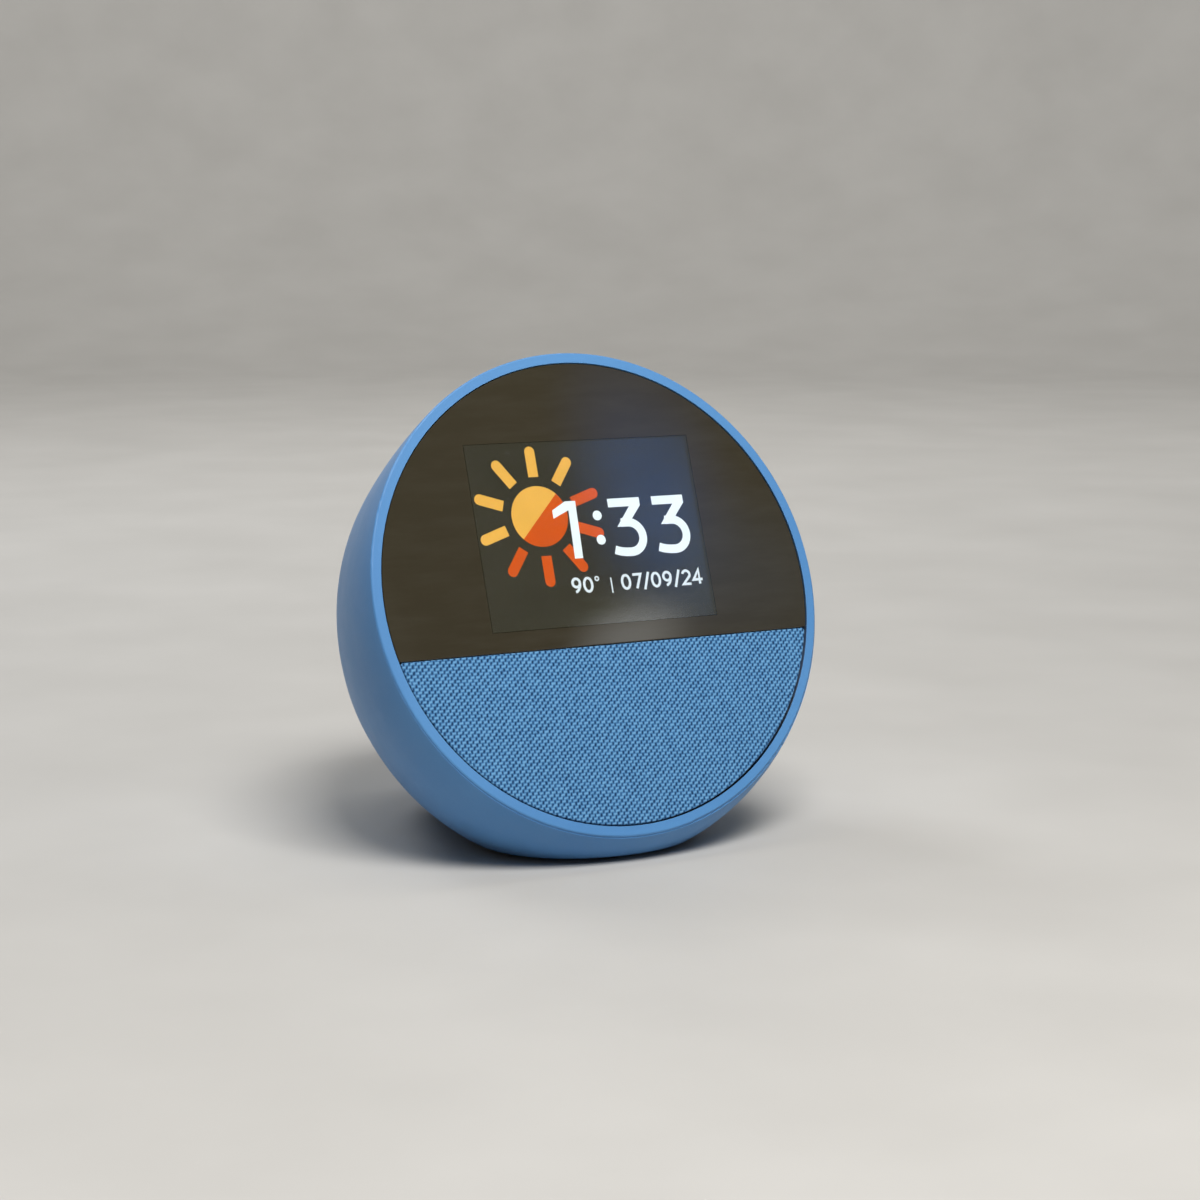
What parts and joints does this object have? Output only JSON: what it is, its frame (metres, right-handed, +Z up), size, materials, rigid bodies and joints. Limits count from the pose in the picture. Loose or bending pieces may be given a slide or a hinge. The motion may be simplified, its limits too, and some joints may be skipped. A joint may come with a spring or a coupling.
{
  "type": "smart display",
  "caption": "Round tilted tabletop smart display with a half-disc glass screen above a half-disc fabric speaker grille, top push buttons, a rear DC socket and a flat oval rubber foot",
  "frame": {"origin": "on the floor plane under the middle of the bounding box", "axes": "+X to the viewer's right when facing the display, +Y from the face to the back, +Z up; the face leans back 20 degrees from vertical"},
  "size_m": [0.1126, 0.1028, 0.1109],
  "materials": {
    "shell": "smooth soft-touch matte",
    "lens": "polished",
    "adhesive": "matte",
    "touch_film": "polished",
    "lcd": "polished",
    "backlight": "satin",
    "tray": "stamped",
    "flex": "satin",
    "sensor": "gloss",
    "frame_plastic": "moulded",
    "screw_steel": "dark zinc",
    "fabric": "woven mesh",
    "grille_plastic": "moulded",
    "foam": "matte",
    "basket": "black coat",
    "surround_rubber": "matte",
    "cone_paper": "pulp",
    "cap_paper": "satin",
    "coil_copper": "wound wire",
    "spider_cloth": "treated cloth",
    "plate_steel": "zinc",
    "ferrite": "sintered",
    "yoke_steel": "zinc",
    "chamber_plastic": "moulded",
    "lead_jacket": "matte",
    "pcb": "solder mask",
    "can": "tinned",
    "pad": "matte",
    "sink": "extruded",
    "connector": "moulded",
    "antenna": "solder mask",
    "pcb_small": "solder mask",
    "switch_plastic": "moulded",
    "button_down": "smooth matte",
    "button_mute": "smooth matte",
    "button_up": "smooth matte",
    "plunger": "moulded",
    "ribbon": "flat cable",
    "mic_can": "plated",
    "mic_rubber": "matte",
    "jack_plastic": "moulded",
    "pin_metal": "plated",
    "power_jacket": "matte",
    "base_plastic": "moulded",
    "foot_rubber": "matte"
  },
  "bodies": {
    "base": {"housing_shell": "shell", "cover_glass": "lens", "lens_adhesive": "adhesive", "touch_sensor": "touch_film", "lcd_panel": "lcd", "lcd_backlight": "backlight", "lcd_frame": "tray", "display_flex": "flex", "light_sensor": "sensor", "front_frame": "frame_plastic", "frame_screws": "screw_steel", "grille_fabric": "fabric", "grille_plate": "grille_plastic", "speaker_gasket": "foam", "speaker_basket": "basket", "speaker_surround": "surround_rubber", "speaker_spider": "spider_cloth", "speaker_top_plate": "plate_steel", "speaker_magnet": "ferrite", "speaker_yoke": "yoke_steel", "speaker_enclosure": "chamber_plastic", "speaker_screws": "screw_steel", "speaker_leads": "lead_jacket", "main_board": "pcb", "shield_can": "can", "thermal_pad": "pad", "heat_sink": "sink", "board_connectors": "connector", "board_screws": "screw_steel", "wifi_antenna": "antenna", "button_board": "pcb_small", "switch_bodies": "switch_plastic", "button_board_screws": "screw_steel", "button_ribbon": "ribbon", "microphones": "mic_can", "mic_gasket": "mic_rubber", "dc_jack": "jack_plastic", "dc_pin": "pin_metal", "power_lead": "power_jacket", "base_plate": "base_plastic", "rubber_foot": "foot_rubber", "base_screws": "screw_steel"},
    "volume_down": {"volume_down_button": "button_down", "volume_down_plunger": "plunger"},
    "mute": {"mute_button": "button_mute", "mute_plunger": "plunger"},
    "volume_up": {"volume_up_button": "button_up", "volume_up_plunger": "plunger"},
    "cone": {"speaker_cone": "cone_paper", "dust_cap": "cap_paper", "voice_coil": "coil_copper"}
  },
  "joints": [
    {"name": "volume_down_press", "type": "slide", "parent": "base", "child": "volume_down", "axis": [0, -0.4403, -0.8978], "range_m": [0, 0.0005], "stiffness_N_per_m": 2000, "springref_m": -0.0006},
    {"name": "mute_press", "type": "slide", "parent": "base", "child": "mute", "axis": [0, -0.4403, -0.8978], "range_m": [0, 0.0005], "stiffness_N_per_m": 2000, "springref_m": -0.0006},
    {"name": "volume_up_press", "type": "slide", "parent": "base", "child": "volume_up", "axis": [0, -0.4403, -0.8978], "range_m": [0, 0.0005], "stiffness_N_per_m": 2000, "springref_m": -0.0006},
    {"name": "cone_travel", "type": "slide", "parent": "base", "child": "cone", "axis": [0, -0.9397, 0.342], "range_m": [-0.0006, 0.0006], "stiffness_N_per_m": 1500, "deforming": ["speaker_surround", "speaker_spider"]}
  ]
}
